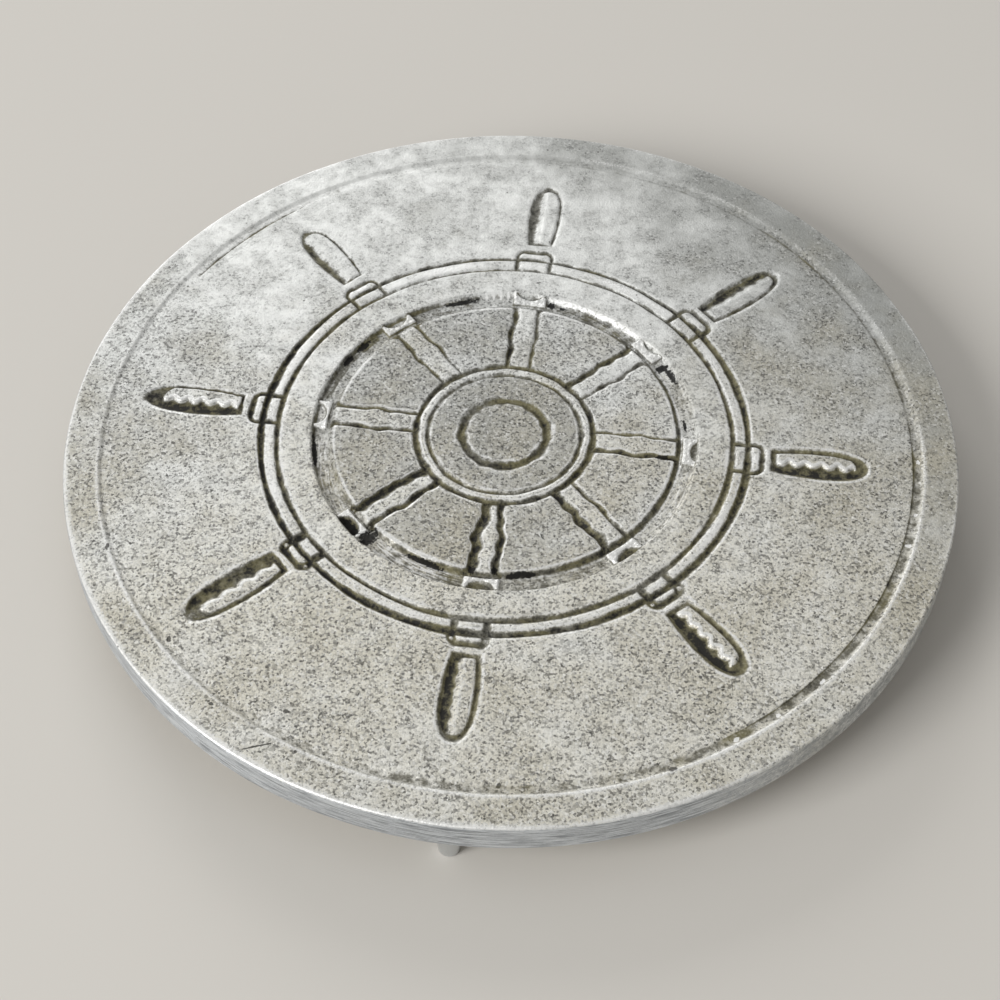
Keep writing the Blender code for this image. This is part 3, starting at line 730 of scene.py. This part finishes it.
def plate_top(plate, wheel):
    """The plate's top as a grid of rings and columns, with its marks. The rings are centred on the wheel
    and, from the handles' tips on, slide over to the plate's middle. Height is the field's, less the carving
    and the channel, plus the rim's rise."""
    radius = ring_radii(plate, wheel)
    angle = column_angles(radius, wheel)
    off = 1.0 - past_handles(radius)[:, None]
    x = off * wheel.shift_x + radius[:, None] * np.cos(angle)
    y = off * wheel.shift_y + radius[:, None] * np.sin(angle)
    away, around = np.hypot(x, y), np.arctan2(y, x)
    depth, marks = carving(x, y, wheel)
    step, channel, scribed = rim_relief(away, around, plate)
    waves = uneven(x, y, 19.0 * MM, 1.0) + 0.5 * uneven(x, y, 7.0 * MM, 2.0)
    dip = plate.waviness * (1.5 + waves) * (1.0 - 0.5 * step)
    height = plate.top - plate.rim_rise * (1.0 - step) - plate.channel_depth * channel
    height = height - np.clip(dip, 0.0, None) - depth - 0.15 * MM * scribed

    grime_and_shade, dulled_and_shaded, worn_and_lit = rim_marks(away, around, step, channel, scribed, plate)
    handled = 0.8 * smooth(-x, 50.0 * MM, 85.0 * MM) * bell(y / (75.0 * MM))
    tarnished = np.maximum(marks["tarnish_and_shade"], handled)
    marks["grit"] = 0.9 * tarnished - 0.25 * step * smooth(facing(around, 10.0), 0.5, 0.9)
    marks["tarnish_and_shade"] = np.maximum(tarnished, dulled_and_shaded)
    marks["grime_and_shade"] = np.maximum(marks["grime_and_shade"], grime_and_shade)
    marks["wear_and_highlight"] = np.maximum(marks["wear_and_highlight"], worn_and_lit)
    marks["side"] = np.zeros_like(x)
    return np.stack((x, y, height), -1), marks


def plate_edge(plate, angle):
    """The plate's edge, side and underside as further rings: a quarter round, the side, a quarter round and
    the flat underside that closes at its middle. The side was filed by hand, so its radius wavers
    inwards."""
    quarter = np.linspace(0.0, math.pi / 2, EDGE_STEPS + 1)[1:]
    turned = plate.edge_round
    outer = plate.diameter / 2
    fall = np.linspace(plate.top - turned, plate.bottom + turned, EDGE_STEPS + 1)[1:]
    inward = np.array([0.9, 0.6, 0.3, 0.0]) * outer
    radius = np.concatenate((
        outer - turned + turned * np.sin(quarter),
        np.full_like(fall, outer),
        outer - turned + turned * np.cos(quarter),
        inward,
    ))
    height = np.concatenate((
        plate.top - turned + turned * np.cos(quarter),
        fall,
        plate.bottom + turned - turned * np.sin(quarter),
        np.full_like(inward, plate.bottom),
    ))
    filed = 0.06 * MM * (1.0 + wobble(angle, 51)).clip(0.0, 2.0)
    reach = radius[:, None] - filed * (radius > 0.95 * outer)[:, None]
    heights = np.broadcast_to(height[:, None], reach.shape)
    grid = np.stack((reach * np.cos(angle), reach * np.sin(angle), heights), -1)
    low = smooth(plate.top - heights, 0.1 * MM, 0.6 * MM)
    # Painted highlight: the top edge brighter where it faces the light, at about 205 degrees
    rubbed_and_lit = (1.0 - low) * (0.6 + 0.3 * facing(angle, 205.0) + 0.25 * wobble(angle, 44))
    beneath = 1.0 - smooth(heights - plate.bottom, 0.0, 0.5 * MM)
    side = low * (1.0 - beneath)
    # Painted shade: the side darker where it faces away from the light, at about 325 degrees
    dulled_and_shaded = 0.6 * smooth(facing(angle, 325.0), 0.8, 0.97) * side
    marks = {
        "grime_and_shade": 0.75 * dulled_and_shaded,
        "tarnish_and_shade": np.maximum(dulled_and_shaded, 0.8 * beneath),
        "grit": np.maximum(dulled_and_shaded, 0.5 * beneath),
        "side": side - dulled_and_shaded,
        "wear_and_highlight": rubbed_and_lit,
    }
    return grid, marks


def plate_surface(plate, wheel):
    """The whole plate as one grid, from the middle of its top over its edge to that of its underside."""
    top, top_marks = plate_top(plate, wheel)
    even = column_angles(np.array([plate.diameter / 2]), wheel)
    edge, edge_marks = plate_edge(plate, even)
    marks = {name: np.concatenate((top_marks[name], edge_marks[name])) for name in edge_marks}
    return np.concatenate((top, edge)), marks


def foot_surface(foot, centre, bottom):
    """A foot as a grid: a profile of radius and height, from the middle of its top down its tapered side and
    round its tip, turned about the foot's axis."""
    quarter = np.linspace(0.0, math.pi / 2, EDGE_STEPS + 1)
    taper = np.linspace(0.0, 1.0, FOOT_STEPS + 1)
    tip = foot.tip / 2
    side = foot.root / 2 + (tip - foot.root / 2) * taper[:-1]
    radius = np.concatenate(([0.0], side, tip - foot.tip_round + foot.tip_round * np.cos(quarter), [0.0]))
    top = bottom + foot.seat
    fall = top + (foot.tip_round - top) * taper[:-1]
    height = np.concatenate(([top], fall, foot.tip_round * (1.0 - np.sin(quarter)), [0.0]))
    angle = math.tau * np.arange(FOOT_COLUMNS) / FOOT_COLUMNS
    x = centre[0] + radius[:, None] * np.cos(angle)
    y = centre[1] + radius[:, None] * np.sin(angle)
    return np.stack((x, y, np.broadcast_to(height[:, None], x.shape)), -1)


def add_piece(name, grid, marks):
    """A closed mesh from a grid of rings by columns. Neighbours share a quad, the columns wrap round, and
    the first and last rings lie on one point each, so they become the points of two fans of triangles."""
    rings, columns = grid.shape[:2]
    count = (rings - 2) * columns
    index = 1 + np.arange(count).reshape(rings - 2, columns)
    after = np.roll(index, -1, axis=1)
    quads = np.stack((index[:-1], index[1:], after[1:], after[:-1]), -1).reshape(-1, 4)
    first = np.stack((np.zeros(columns, int), index[0], after[0]), -1)
    last = np.stack((np.full(columns, count + 1), after[-1], index[-1]), -1)
    points = np.concatenate((grid[:1, 0], grid[1:-1].reshape(-1, 3), grid[-1:, 0]))
    mesh = bpy.data.meshes.new(name)
    mesh.from_pydata(points.tolist(), [], first.tolist() + quads.tolist() + last.tolist())
    mesh.shade_smooth()
    for mark, values in marks.items():
        attribute = mesh.attributes.new(mark, "FLOAT", "POINT")
        flat = np.concatenate((values[:1, 0], values[1:-1].ravel(), values[-1:, 0]))
        attribute.data.foreach_set("value", flat.astype(np.float32))
    piece = bpy.data.objects.new(name, mesh)
    bpy.context.scene.collection.objects.link(piece)
    return piece


def add(tree, kind, links, **settings):
    """Adds a shader node with its settings and gives its outputs. Links gives each input a value or the
    socket that feeds it."""
    node = tree.nodes.new(f"ShaderNode{kind}")
    for name, value in settings.items():
        setattr(node, name, value)
    for name, source in links.items():
        if isinstance(source, bpy.types.NodeSocket):
            tree.links.new(source, node.inputs[name])
        else:
            node.inputs[name].default_value = source
    return node.outputs


def new_material(name):
    """A new material, its nodes and its shader."""
    material = bpy.data.materials.new(name)
    material.use_nodes = True
    return material, material.node_tree, material.node_tree.nodes["Principled BSDF"]


def cast_noises(tree, place):
    """Noises of the cast finish: clouds of tarnish, mottling, ragged dirt, specks and the grain of the sand,
    and the file's strokes round the side, which are drawn some 0.2 mm high, coarser than a file's teeth, so
    that they show."""
    noise = {}
    for name, size, turn, detail, roughness in (
        ("clouds", (18, 18, 18), (0.0, 0.0, 0.0), 4.0, 0.6),
        ("mottle", (5, 5, 5), (0.0, 0.0, 0.0), 5.0, 0.75),
        ("ragged", (3, 3, 3), (0.0, 0.0, 0.0), 3.0, 0.75),
        ("spots", (0.8, 0.6, 0.8), (0.0, 0.0, 0.6), 3.0, 0.6),
        ("grain", (0.5, 0.5, 0.5), (0.0, 0.0, 0.0), 2.0, 0.7),
        ("strokes", (7, 7, 0.2), (0.04, 0.03, 0.0), 3.0, 0.7),
    ):
        own = add(tree, "Mapping", {
            "Vector": place,
            "Location": NOISE_ORIGIN,
            "Rotation": turn,
            "Scale": tuple(way * MM for way in size),
        }, vector_type="TEXTURE")
        noise[name] = add(tree, "TexNoise", {
            "Vector": own["Vector"],
            "Scale": 1.0,
            "Detail": detail,
            "Roughness": roughness,
        })["Fac"]
    return noise


def cast_pits(tree, place):
    """Pits of about half a millimetre and blowholes of about one, in some of the cells of two scatters."""
    pits = 0.0
    for cell, reach in ((2.6, 0.3), (15.0, 0.1)):
        scatter = add(tree, "TexVoronoi", {"Vector": place, "Scale": 1 / (cell * MM)})
        chance = add(tree, "SeparateColor", {"Color": scatter["Color"]})["Red"]
        width = add(tree, "Math", {0: chance, 1: reach, 2: -reach / 2}, operation="MULTIPLY_ADD")[0]
        depth = add(tree, "Math", {0: width, 1: scatter["Distance"]}, operation="SUBTRACT")[0]
        hole = add(tree, "MapRange", {"Value": depth, "From Min": 0.0, "From Max": reach / 4})[0]
        pits = add(tree, "Math", {0: pits, 1: hole}, operation="MAXIMUM")[0]
    return pits


def cast_dents(tree, place, specks, wheel):
    """Black patches of residue and painted shadow, nicks, painted highlights on nodules, and shaved strokes:
    each mark is a unit ball in coordinates of its own, laid along it and scaled to its size, with an edge
    that specks make ragged."""
    wheel_middle, plate_middle = (wheel.shift_x, wheel.shift_y), (0.0, 0.0)
    dents = {}
    for name, table, (middle_x, middle_y) in (
        ("residue_and_shadow", RESIDUE_AND_SHADOW, wheel_middle),
        ("nicks", NICKS, plate_middle),
        ("nodule_highlights", NODULE_HIGHLIGHTS, plate_middle),
        ("shaved", SHAVED, wheel_middle),
    ):
        dents[name] = 0.0
        for turn, out, long, wide, way in table:
            x = middle_x + out * MM * math.cos(math.radians(turn))
            y = middle_y + out * MM * math.sin(math.radians(turn))
            own = add(tree, "Mapping", {
                "Vector": place,
                "Location": (x, y, PLATE_HIGH.z),
                "Rotation": (0.0, 0.0, math.radians(way)),
                "Scale": (long * MM / 2, wide * MM / 2, MARK_REACH),
            }, vector_type="TEXTURE")
            away = add(tree, "VectorMath", {0: own["Vector"]}, operation="LENGTH")["Value"]
            ragged = add(tree, "Math", {0: specks, 1: 1.8, 2: away}, operation="MULTIPLY_ADD")[0]
            dent = add(tree, "MapRange", {"Value": ragged, "From Min": 1.9, "From Max": 1.7})[0]
            dents[name] = add(tree, "Math", {0: dents[name], 1: dent}, operation="MAXIMUM")[0]
    return dents


def cast_masks(tree, place, mark, noise):
    """Masks of the cast finish, 0 to 1. Each grows where a mark of the mesh, or a way across the plate, and
    a share of a noise add up to low and high, or, for the last six, where a noise alone does."""
    # How far a place lies to the front, and to the back right, which is painted in shade, from 0 to 1
    front, behind = (
        add(tree, "MapRange", {
            "Value": add(tree, "VectorMath", {0: place, 1: way}, operation="DOT_PRODUCT")["Value"],
            "From Min": start * MM,
            "From Max": end * MM,
        })[0]
        for way, start, end in (((0.0, 1.0, 0.0), 90, -40), ((0.84, 0.54, 0.0), 20, 90))
    )
    dirtier = front
    for cover, share in ((noise["clouds"], 1.6), (mark["grit"], 1.0)):
        dirtier = add(tree, "Math", {0: cover, 1: share, 2: dirtier}, operation="MULTIPLY_ADD")[0]
    mask = {}
    for name, start, grain, share, low, high in (
        ("dull", mark["tarnish_and_shade"], "clouds", 2.2, 1.05, 2.9),
        # Painted shade: darker towards the back right, away from the light
        ("right_shade", behind, "clouds", 1.6, 0.8, 2.1),
        ("film", front, "clouds", 1.6, 1.0, 2.1),
        ("patchy", dirtier, "mottle", 3.0, 1.9, 3.4),
        ("bright", mark["wear_and_highlight"], "grain", 1.2, 0.75, 1.3),
        ("dirt_and_shade", mark["grime_and_shade"], "ragged", 2.0, 1.25, 1.75),
        ("olive", mark["grime_and_shade"], "clouds", 2.4, 1.75, 2.1),
        ("core", mark["grime_and_shade"], "ragged", 2.4, 1.85, 2.45),
        # Near-black where the grime and painted shade are strongest, as in the handles' hollows
        ("tar_and_shadow", mark["grime_and_shade"], "ragged", 1.9, 2.0, 2.2),
    ):
        total = add(tree, "Math", {0: noise[grain], 1: share, 2: start}, operation="MULTIPLY_ADD")[0]
        ends = {"From Min": low, "From Max": high}
        mask[name] = add(tree, "MapRange", {"Value": total, **ends}, interpolation_type="SMOOTHSTEP")[0]
    for name, grain, low, high in (
        ("smudged", "clouds", 0.42, 0.66),
        ("mottled", "mottle", 0.42, 0.6),
        ("softened", "ragged", 0.42, 0.62),
        ("grainy", "grain", 0.45, 0.66),
        ("spotted", "spots", 0.63, 0.66),
        ("strokes", "strokes", 0.44, 0.6),
    ):
        mask[name] = add(tree, "MapRange", {"Value": noise[grain], "From Min": low, "From Max": high})[0]
    return mask


def cast_aluminium(finish, wheel):
    """Sand-cast aluminium that has tarnished: a pale grey with no clear reflections, speckled all over with
    dirt in its grain and pits, dark olive in its cuts, bright where hands and pans have worn it, and filed
    round its side. Painted shade darkens its cuts, hollows, groove and the parts away from the light, and
    painted highlights brighten edges that face it."""
    material, tree, shader = new_material("tarnished_cast_aluminium")
    place = add(tree, "TexCoord", {})["Object"]
    mark = {
        name: add(tree, "Attribute", {}, attribute_name=name)["Fac"]
        for name in ("grime_and_shade", "wear_and_highlight", "tarnish_and_shade", "grit", "side")
    }
    noise = cast_noises(tree, place)
    pits = cast_pits(tree, place)
    dents = cast_dents(tree, place, noise["spots"], wheel)
    mask = cast_masks(tree, place, mark, noise)

    # Grains of about half a millimetre, each with its own tone, that show less where wear and painted
    # highlight
    #     keep it bright
    sand = add(tree, "TexVoronoi", {"Vector": place, "Scale": 1 / (0.5 * MM)})
    tones, flecks = (
        add(tree, "MapRange", {"Value": chance, "From Min": low})[0]
        for chance, low in zip(add(tree, "SeparateColor", {"Color": sand["Color"]}), (0.5, 0.65))
    )
    grainy = add(tree, "Mix", {0: 0.7, 2: mask["grainy"], 3: tones}, data_type="FLOAT")[0]
    shown = add(tree, "Math", {0: mask["bright"], 1: -0.7, 2: 1.0}, operation="MULTIPLY_ADD")[0]
    shown = add(tree, "Math", {0: shown, 1: mask["patchy"]}, operation="MULTIPLY")[0]
    grainy, spotted, flecks, scratched = (
        add(tree, "Math", {0: cover, 1: within}, operation="MULTIPLY")[0]
        for cover, within in (
            (grainy, shown), (mask["spotted"], shown), (flecks, shown), (mask["strokes"], mark["side"]),
        )
    )

    # Coats over the pale metal, each as thick as its cover and share say. The coat towards the back right is
    #     painted shade, the grime, its core and the near-black are dirt and painted shade, and the bare metal
    #     is wear and painted highlight
    tone = (*finish.pale, 1.0)
    for cover, paint, share in (
        (mask["dull"], finish.dull, 0.85),
        (mask["right_shade"], finish.dull, 0.9),
        (mask["smudged"], finish.dull, 0.3),
        (mask["mottled"], finish.dull, 0.3),
        (mask["softened"], finish.dull, 0.12),
        (mask["film"], finish.warm, 0.45),
        (mask["bright"], finish.bare_and_highlight, 0.8),
        (flecks, finish.bare_and_highlight, 0.5),
        (grainy, finish.speck, 1.0),
        (spotted, finish.speck, 0.85),
        (pits, finish.pit, 0.8),
        (dents["nicks"], finish.deep_grime_and_shade, 0.85),
        (mask["dirt_and_shade"], finish.grime_and_shade, 0.8),
        (mask["olive"], finish.olive, 0.55),
        (mask["core"], finish.deep_grime_and_shade, 0.85),
        (mask["tar_and_shadow"], finish.residue_and_shadow, 0.8),
        (dents["nodule_highlights"], finish.bare_and_highlight, 0.8),
        (dents["shaved"], finish.bare_and_highlight, 0.9),
        (dents["residue_and_shadow"], finish.residue_and_shadow, 0.95),
        (mark["side"], finish.silver, 0.9),
        (scratched, finish.streak, 0.8),
    ):
        part = add(tree, "Math", {0: cover, 1: share}, operation="MULTIPLY")[0]
        tone = add(tree, "Mix", {0: part, 6: tone, 7: (*paint, 1.0)}, data_type="RGBA")[2]
    tree.links.new(tone, shader.inputs["Base Color"])

    # Metallic, roughness and height: to a start, shares of masks and noises are added one by one
    sums = []
    for start, clamped, shares in (
        (0.28, True, (
            (mask["bright"], 0.15), (mark["side"], 0.45), (mask["dirt_and_shade"], -1.0), (dents["residue_and_shadow"], -1.0),
        )),
        (0.4, False, (
            (noise["mottle"], 0.2), (mask["dirt_and_shade"], 0.25), (dents["residue_and_shadow"], 0.5), (mask["bright"], -0.05),
        )),
        (noise["grain"], False, ((sand["Distance"], -0.5), (pits, -0.7))),
    ):
        total = start
        for cover, share in shares:
            links = {0: cover, 1: share, 2: total}
            total = add(tree, "Math", links, operation="MULTIPLY_ADD", use_clamp=clamped)[0]
        sums.append(total)
    metal, rough, sunken = sums
    tree.links.new(metal, shader.inputs["Metallic"])
    tree.links.new(rough, shader.inputs["Roughness"])
    height = add(tree, "Mix", {0: mark["side"], 2: sunken, 3: mask["strokes"]}, data_type="FLOAT")[0]
    bump = add(tree, "Bump", {"Strength": 0.6, "Distance": 0.15 * MM, "Height": height})["Normal"]
    tree.links.new(bump, shader.inputs["Normal"])
    return material


def turned_aluminium(finish):
    """Turned aluminium, worn bright: clean silver with fine rings of tool marks that spread highlights."""
    material, tree, shader = new_material("turned_aluminium")
    place = add(tree, "TexCoord", {})["Object"]
    scale = (1 / (20 * MM), 1 / (20 * MM), 1 / (0.3 * MM))
    spread = add(tree, "Mapping", {"Vector": place, "Scale": scale})["Vector"]
    rings = add(tree, "TexNoise", {"Vector": spread, "Scale": 1.0, "Detail": 2.0})["Fac"]
    shader.inputs["Base Color"].default_value = (*finish.turned, 1.0)
    shader.inputs["Metallic"].default_value = 1.0
    rough = add(tree, "MapRange", {"Value": rings, "To Min": 0.2, "To Max": 0.45})[0]
    tree.links.new(rough, shader.inputs["Roughness"])
    bump = add(tree, "Bump", {"Strength": 0.35, "Distance": 0.05 * MM, "Height": rings})["Normal"]
    tree.links.new(bump, shader.inputs["Normal"])
    return material


def floor_paint(stage):
    """Matt pale paint: an even tone that only the object's shadow changes."""
    material, _, shader = new_material("matt_floor_paint")
    shader.inputs["Base Color"].default_value = (*stage.floor, 1.0)
    shader.inputs["Roughness"].default_value = 0.9
    return material


def add_lamp(name, place, size, power):
    """A square area lamp that faces the plate."""
    light = bpy.data.lights.new(name, "AREA")
    light.size = size
    light.energy = power
    lamp = bpy.data.objects.new(name, light)
    lamp.location = place
    lamp.rotation_euler = (-Vector(place)).to_track_quat("-Z", "Y").to_euler()
    bpy.context.scene.collection.objects.link(lamp)


class TRIVET_OT_plate(bpy.types.Operator):
    """Adds the cast plate with its carved wheel"""

    bl_idname = "trivet.plate"
    bl_label = "Cast Plate"

    def execute(self, context):
        trivet = context.scene.trivet
        grid, marks = plate_surface(trivet.plate, trivet.wheel)
        plate = add_piece("carved_plate", grid, marks)
        plate.data.materials.append(cast_aluminium(trivet.finish, trivet.wheel))
        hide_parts("plate")
        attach(plate, "root")
        return {"FINISHED"}


class TRIVET_OT_feet(bpy.types.Operator):
    """Adds the turned feet under the rim"""

    bl_idname = "trivet.feet"
    bl_label = "Turned Feet"

    def execute(self, context):
        trivet = context.scene.trivet
        material = turned_aluminium(trivet.finish)
        for node in FOOT_NODES:
            low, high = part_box(node)
            grid = foot_surface(trivet.foot, (low + high) / 2, trivet.plate.bottom)
            foot = add_piece(f"turned_{node}", grid, {})
            foot.data.materials.append(material)
            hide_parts(node)
            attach(foot, "root")
        return {"FINISHED"}


class TRIVET_OT_stage(bpy.types.Operator):
    """Adds the floor, the light and the camera"""

    bl_idname = "trivet.stage"
    bl_label = "Stage"

    def execute(self, context):
        scene = context.scene
        stage = scene.trivet.stage
        mesh = bpy.data.meshes.new("floor")
        corners = [(FLOOR_REACH * x, FLOOR_REACH * y, 0.0) for x, y in ((-1, -1), (1, -1), (1, 1), (-1, 1))]
        mesh.from_pydata(corners, [], [(0, 1, 2, 3)])
        mesh.materials.append(floor_paint(stage))
        floor = bpy.data.objects.new("floor", mesh)
        scene.collection.objects.link(floor)

        for lamp in LAMPS:
            add_lamp(*lamp)

        world = bpy.data.worlds.new("soft_room")
        world.use_nodes = True
        background = world.node_tree.nodes["Background"]
        background.inputs["Color"].default_value = (*stage.sky, 1.0)
        background.inputs["Strength"].default_value = stage.sky_strength
        scene.world = world
        scene.view_settings.view_transform = "Standard"

        data = bpy.data.cameras.new("camera")
        data.lens = stage.lens
        camera = bpy.data.objects.new("camera", data)
        camera.location = stage.eye
        camera.rotation_euler = (Vector(stage.aim) - Vector(stage.eye)).to_track_quat("-Z", "Y").to_euler()
        scene.collection.objects.link(camera)
        scene.camera = camera
        return {"FINISHED"}


class TRIVET_PT_sidebar(bpy.types.Panel):
    """Lists the trivet's settings and operators"""

    bl_idname = "TRIVET_PT_sidebar"
    bl_label = "Ship's Wheel Trivet"
    bl_space_type = "VIEW_3D"
    bl_region_type = "UI"
    bl_category = "Trivet"

    def draw(self, context):
        trivet = context.scene.trivet
        for operator in (TRIVET_OT_plate, TRIVET_OT_feet, TRIVET_OT_stage):
            self.layout.operator(operator.bl_idname)
        for group in (trivet.plate, trivet.wheel, trivet.foot, trivet.finish, trivet.stage):
            box = self.layout.box()
            for name in group.__annotations__:
                box.prop(group, name)


CLASSES = (
    PlateSizes,
    WheelSizes,
    FootSizes,
    Finishes,
    StageSettings,
    TrivetSettings,
    TRIVET_OT_plate,
    TRIVET_OT_feet,
    TRIVET_OT_stage,
    TRIVET_PT_sidebar,
)


def register():
    """Registers the classes and hangs the settings on the scene."""
    for item in CLASSES:
        bpy.utils.register_class(item)
    bpy.types.Scene.trivet = bpy.props.PointerProperty(type=TrivetSettings)


def unregister():
    """Takes the settings and the classes away again."""
    del bpy.types.Scene.trivet
    for item in reversed(CLASSES):
        bpy.utils.unregister_class(item)


def main():
    """Registers the add-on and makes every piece."""
    register()
    bpy.ops.trivet.plate()
    bpy.ops.trivet.feet()
    bpy.ops.trivet.stage()


if __name__ == "__main__":
    main()
